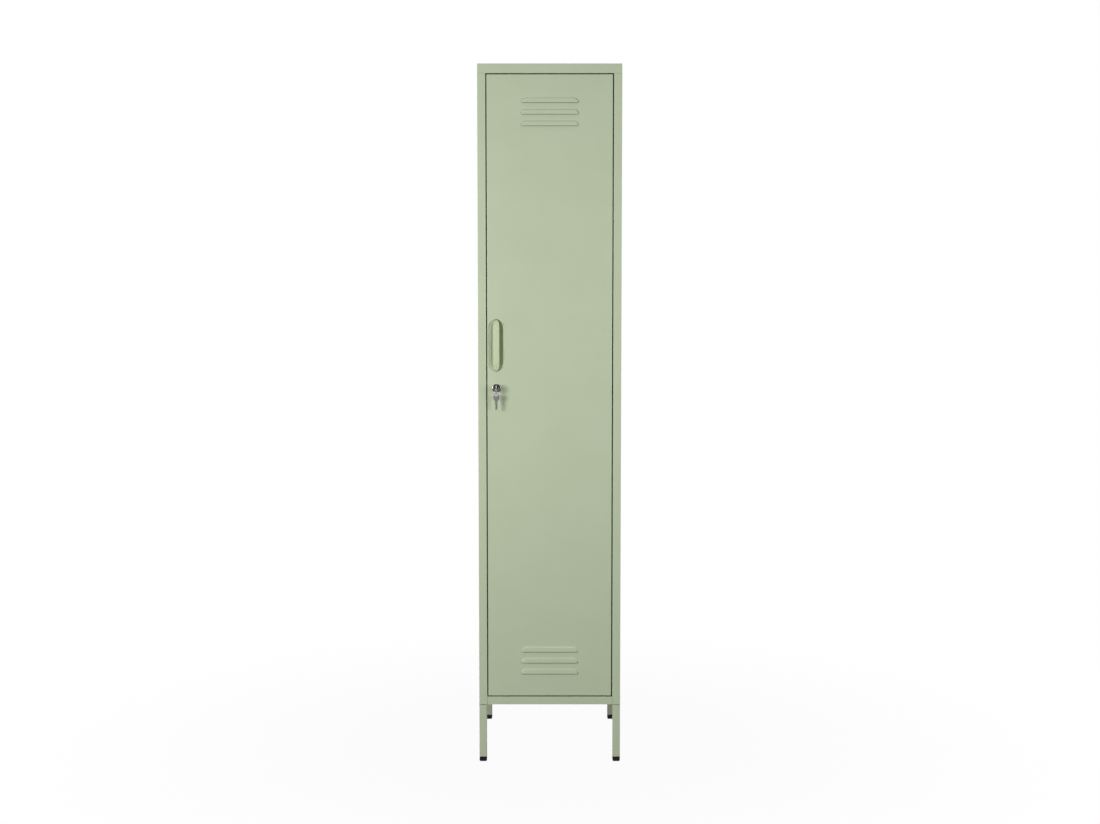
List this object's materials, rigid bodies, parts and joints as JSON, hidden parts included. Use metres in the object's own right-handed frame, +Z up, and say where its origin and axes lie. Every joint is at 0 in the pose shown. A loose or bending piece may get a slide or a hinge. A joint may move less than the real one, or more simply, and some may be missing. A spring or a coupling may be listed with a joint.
{
  "type": "single door steel locker",
  "caption": "Slim sage green steel locker on square legs: pin-hinged louvred door with recessed grip and cam lock, shelves and a clothes rail inside.",
  "frame": {"origin": "on the floor under the middle of the whole outline, key included", "axes": "+Z up, front and door face -Y, hinge side +X"},
  "size_m": [0.38, 0.4804, 1.865],
  "materials": {
    "powder_coat": "satin powder coat, sage green",
    "grip_plastic": "moulded in the door's colour",
    "chrome": "bright plated",
    "nickel": "dull nickel plate",
    "zinc_steel": "bright zinc plate",
    "black_plastic": "moulded, matt",
    "nylon": "natural nylon",
    "rubber": "moulded rubber"
  },
  "bodies": {
    "cabinet": {"left_side_panel": "powder_coat", "right_side_panel": "powder_coat", "top_panel": "powder_coat", "base_panel": "powder_coat", "back_panel": "powder_coat", "front_left_leg": "powder_coat", "front_left_foot": "black_plastic", "front_left_leg_bolt": "zinc_steel", "front_left_shelf_upright": "powder_coat", "front_left_upper_shelf_clip": "zinc_steel", "front_left_lower_shelf_clip": "zinc_steel", "front_right_leg": "powder_coat", "front_right_foot": "black_plastic", "front_right_leg_bolt": "zinc_steel", "front_right_shelf_upright": "powder_coat", "front_right_upper_shelf_clip": "zinc_steel", "front_right_lower_shelf_clip": "zinc_steel", "rear_left_leg": "powder_coat", "rear_left_foot": "black_plastic", "rear_left_leg_bolt": "zinc_steel", "rear_left_shelf_upright": "powder_coat", "rear_left_upper_shelf_clip": "zinc_steel", "rear_left_lower_shelf_clip": "zinc_steel", "rear_right_leg": "powder_coat", "rear_right_foot": "black_plastic", "rear_right_leg_bolt": "zinc_steel", "rear_right_shelf_upright": "powder_coat", "rear_right_upper_shelf_clip": "zinc_steel", "rear_right_lower_shelf_clip": "zinc_steel", "left_lower_back_screw": "zinc_steel", "left_upper_back_screw": "zinc_steel", "left_rail_socket": "nylon", "right_lower_back_screw": "zinc_steel", "right_upper_back_screw": "zinc_steel", "right_rail_socket": "nylon", "upper_shelf": "powder_coat", "lower_shelf": "powder_coat", "clothes_rail": "chrome", "lower_door_bumper": "rubber", "upper_door_bumper": "rubber", "lower_hinge_bush": "black_plastic", "upper_hinge_bush": "black_plastic"},
    "door": {"door_panel": "powder_coat", "door_stiffener": "powder_coat", "grip_cup": "grip_plastic", "lower_hinge_pin": "zinc_steel", "hinge_bolt_bracket": "zinc_steel", "hinge_bolt_spring": "zinc_steel", "lock_body": "chrome", "lock_nut": "zinc_steel"},
    "hinge_bolt": {"upper_hinge_bolt": "zinc_steel"},
    "lock_cylinder": {"lock_plug": "chrome", "lock_cam": "zinc_steel", "cam_screw": "zinc_steel"},
    "key": {"key": "nickel"},
    "key_ring": {"key_ring": "nickel"},
    "spare_key": {"spare_key": "nickel"}
  },
  "joints": [
    {"name": "door_swing", "type": "hinge", "parent": "cabinet", "child": "door", "pos_m": [0.1575, -0.20385, 1], "axis": [0, 0, 1], "range_deg": [0, 110]},
    {"name": "hinge_bolt_pull", "type": "slide", "parent": "door", "child": "hinge_bolt", "axis": [0, 0, -1], "range_m": [0, 0.01], "stiffness_N_per_m": 400, "springref_m": -0.01, "deforming": ["hinge_bolt_spring"]},
    {"name": "lock_turn", "type": "hinge", "parent": "door", "child": "lock_cylinder", "pos_m": [-0.1414, -0.21, 1.014], "axis": [0, 1, 0], "range_deg": [0, 90]},
    {"name": "key_pull", "type": "slide", "parent": "lock_cylinder", "child": "key", "axis": [0, -1, 0], "range_m": [0, 0.02]},
    {"name": "key_ring_swing", "type": "hinge", "parent": "key", "child": "key_ring", "pos_m": [-0.1414, -0.22915, 1.0122], "axis": [1, 0, 0], "range_deg": [-30, 8]},
    {"name": "spare_key_swing", "type": "hinge", "parent": "key_ring", "child": "spare_key", "pos_m": [-0.1414, -0.22915, 0.9992], "axis": [0.7071, 0.7071, 0], "range_deg": [-20, 8]}
  ]
}
